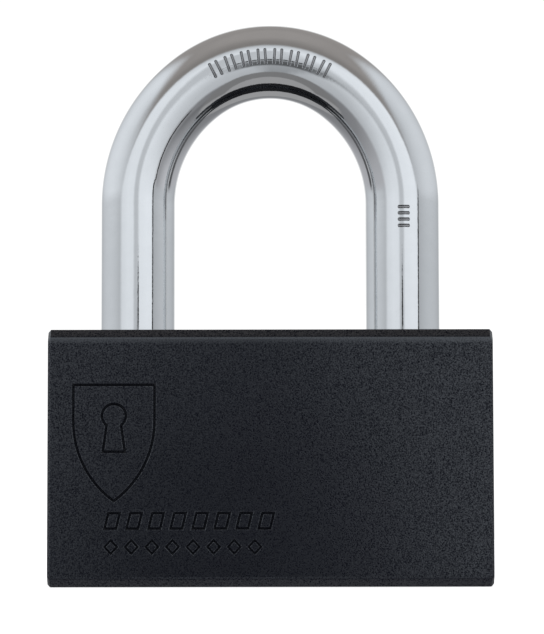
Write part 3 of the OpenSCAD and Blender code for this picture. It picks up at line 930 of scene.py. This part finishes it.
def leaning_path():
    """A leaning block with its foot on the row, drawn inset from its full size."""
    (width, height), slant, inset = BLOCK_SIZE, BLOCK_SLANT, BLOCK_INSET
    lean = slant * inset / height
    return [
        (inset + lean, inset), (width - inset + lean, inset),
        (width - inset + slant - lean, height - inset), (inset + slant - lean, height - inset),
    ]


def rhomb_path():
    half_w, half_h = RHOMB_SIZE[0] / 2, RHOMB_SIZE[1] / 2
    return [(half_w, 0), (0, half_h), (-half_w, 0), (0, -half_h)]


MARK_DEPTH = 0.3
MARK_PROUD = 0.1
# Half of a groove's section, from its middle out: shares of its half width and of its depth
GROOVE_HALF = [(0.0, -1.0), (0.22, -0.92), (0.78, -0.24), (1.0, -0.06)]
LIP_WIDTH, LIP_DEPTH = 0.1, 0.004


def groove_section(line):
    """The groove's section: rounded lips, then a rounded floor. Each point is (across, above the face)."""
    half = line / 2
    right = [(half * w, MARK_DEPTH * h) for w, h in GROOVE_HALF]
    right += [(half + LIP_WIDTH, -LIP_DEPTH), (half + 2 * LIP_WIDTH, MARK_PROUD)]
    return [(-w, h) for w, h in reversed(right[1:])] + right


def pressed_line(name, path, at, line):
    """A groove along a closed outline in the front face."""
    points = [Vector((x, z)) for x, z in path]
    section = groove_section(line)
    rings = []
    for i, point in enumerate(points):
        before = (point - points[i - 1]).normalized()
        after = (points[(i + 1) % len(points)] - point).normalized()
        n1, n2 = Vector((before.y, -before.x)), Vector((after.y, -after.x))
        mitre = (n1 + n2) / (1 + n1.dot(n2))
        ring = []
        for w, proud in section:
            flat = point + w * mitre
            ring.append((at[0] + flat.x, FRONT_Y - proud, at[1] + flat.y))
        rings.append(ring)
    return loft(name, rings, looped=True)


def front_marks():
    """The shield with its keyhole, and the two rows of small marks below it."""
    cutters = [
        pressed_line("shield", shield_path(), SHIELD_AT, SHIELD_LINE),
        pressed_line("keyhole", keyhole_path(), SHIELD_AT, SHIELD_LINE),
    ]
    for i in range(ROW_COUNT):
        at = (BLOCK_START[0] + BLOCK_PITCH * i, BLOCK_START[1])
        cutters.append(pressed_line(f"block_{i}", leaning_path(), at, BLOCK_LINE))
        at = (RHOMB_START[0] + RHOMB_PITCH * i, RHOMB_START[1])
        cutters.append(pressed_line(f"rhomb_{i}", rhomb_path(), at, RHOMB_LINE))
    return cutters


# Bores for the legs, with drains below them, and the cross channel for the balls
BORE_R = 8.2
TOE_BORE_Z, HEEL_BORE_Z = 27, 4
DRAIN_R = 1.75
CHANNEL_R = 6.45
CHANNEL_STEPS = 10
CHANNEL_STEP_TURN = math.radians(8)
# The round pocket for the cylinder, and the hole above it for the end of the cam
POCKET_TOP, CYLINDER_R = 47.2, 13.05
STUB_TOP, STUB_R = 50.2, 5.05
# The set screw's slanted hole, which opens into the toe bore
SCREW_AT, SCREW_TILT = (20.4, 0, 27.8), math.radians(30)
SCREW_R, SCREW_BELOW, SCREW_ABOVE = 2.55, 9.3, 6
# Edges of holes are broken by MOUTH, and cutters reach PAST the surface
MOUTH = 0.3
PAST = 1.0
# A cutter that opens another one reaches this far into it
OVERLAP = 0.2


def bore(name, x, bottom):
    """A shackle bore with a broken edge at its mouth."""
    top = BODY_HI.z
    profile = [(bottom, BORE_R), (top - MOUTH, BORE_R), (top + PAST, BORE_R + MOUTH + PAST)]
    return turned(name, Vector((x, 0, 0)), Z, profile)


def drain(name, x, top):
    """A small hole from below into a bore."""
    profile = [(-PAST, DRAIN_R + MOUTH + PAST), (MOUTH, DRAIN_R), (top, DRAIN_R)]
    return turned(name, Vector((x, 0, 0)), Z, profile, 48)


def ball_channel():
    """The cross channel, with round ends that open into the two bores."""
    turns = [k * CHANNEL_STEP_TURN for k in range(CHANNEL_STEPS + 1)]
    half = [(BALL_X + CHANNEL_R * math.sin(t), CHANNEL_R * math.cos(t)) for t in turns]
    profile = [(-x, r) for x, r in reversed(half)] + half
    return turned("channel", Vector((0, 0, BALL_Z)), X, profile)


def body_piece():
    """The block, with its bores, its cylinder pocket and the marks in its front."""
    block = rounded_block()
    channel = ball_channel()
    tilt = Vector((math.sin(SCREW_TILT), 0, math.cos(SCREW_TILT)))
    cutters = [
        bore("toe_bore", LEG_X, TOE_BORE_Z),
        bore("heel_bore", -LEG_X, HEEL_BORE_Z),
        drain("toe_drain", LEG_X, TOE_BORE_Z + PAST),
        drain("heel_drain", -LEG_X, HEEL_BORE_Z + PAST),
        turned("pocket", Vector(), Z, [(-PAST, CYLINDER_R), (POCKET_TOP, CYLINDER_R)]),
        turned("stub_hole", Vector(), Z, [(POCKET_TOP - OVERLAP, STUB_R), (STUB_TOP, STUB_R)], 64),
        channel,
        turned(
            "screw_hole", Vector(SCREW_AT), tilt, [(-SCREW_BELOW, SCREW_R), (SCREW_ABOVE, SCREW_R)], 48
        ),
    ]
    cut(block, cutters + front_marks())
    finish_piece(block, "lock_body", "body", "black_powder_coat")


# ---------------------------------------------------------------- springs

SPRINGS = 5
WIRE_R = 0.175
COIL_R = 1.2
COIL_TURNS = 5
# How much closer the end turns lie, from 0 for even turns to 1
CLOSED_ENDS = 0.5
STEPS_PER_TURN, WIRE_SIDES = 28, 10


def spring_piece(number):
    """A small coil spring with its end turns closed."""
    node = f"pin_spring_{number}"
    low, high = box_mm(node)
    centre = (low + high) / 2
    steps = STEPS_PER_TURN * COIL_TURNS
    length = high.y - low.y - 2 * WIRE_R
    rings = []
    for k in range(steps + 1):
        share = k / steps
        t = 2 * math.pi * COIL_TURNS * share
        eased = share - math.sin(2 * math.pi * share) / (2 * math.pi) * CLOSED_ENDS
        out = Vector((math.cos(t), 0, math.sin(t)))
        at = Vector((centre.x, low.y + WIRE_R + length * eased, centre.z)) + COIL_R * out
        rings.append(circle(at, WIRE_R, out, Y, WIRE_SIDES))
    spring = loft(f"coil_{number}", rings)
    finish_piece(spring, "lock_body", node, "spring_steel")
    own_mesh(spring)


# ---------------------------------------------------------------- the scene

make_camera()
make_studio()
make_floor()
make_dark_card()

MATERIALS = {
    "black_powder_coat": powder_coat(),
    "hard_chrome": chrome(),
    "brass": metal("brass", (0.72, 0.55, 0.27), 0.3),
    "nickel_silver": metal("nickel_silver", (0.66, 0.62, 0.55), 0.28),
    "blackened_steel": metal("blackened_steel", (0.12, 0.12, 0.125), 0.4),
    "hardened_steel": metal("hardened_steel", (0.5, 0.51, 0.53), 0.22),
    "spring_steel": metal("spring_steel", (0.55, 0.56, 0.58), 0.2),
    "zinc_plated_steel": metal("zinc_plated_steel", (0.6, 0.61, 0.63), 0.3),
    "ball_steel": metal("ball_steel", (0.7, 0.71, 0.73), 0.07, relief=0.0005),
}

for part in frame["record"]["subparts"]:
    for slot in frame["nodes"][part["node"]].material_slots:
        slot.material = MATERIALS[part["material_slot"]]

shackle_piece()
body_piece()
for spring_number in range(1, SPRINGS + 1):
    spring_piece(spring_number)

bpy.context.scene.view_settings.view_transform = "Standard"
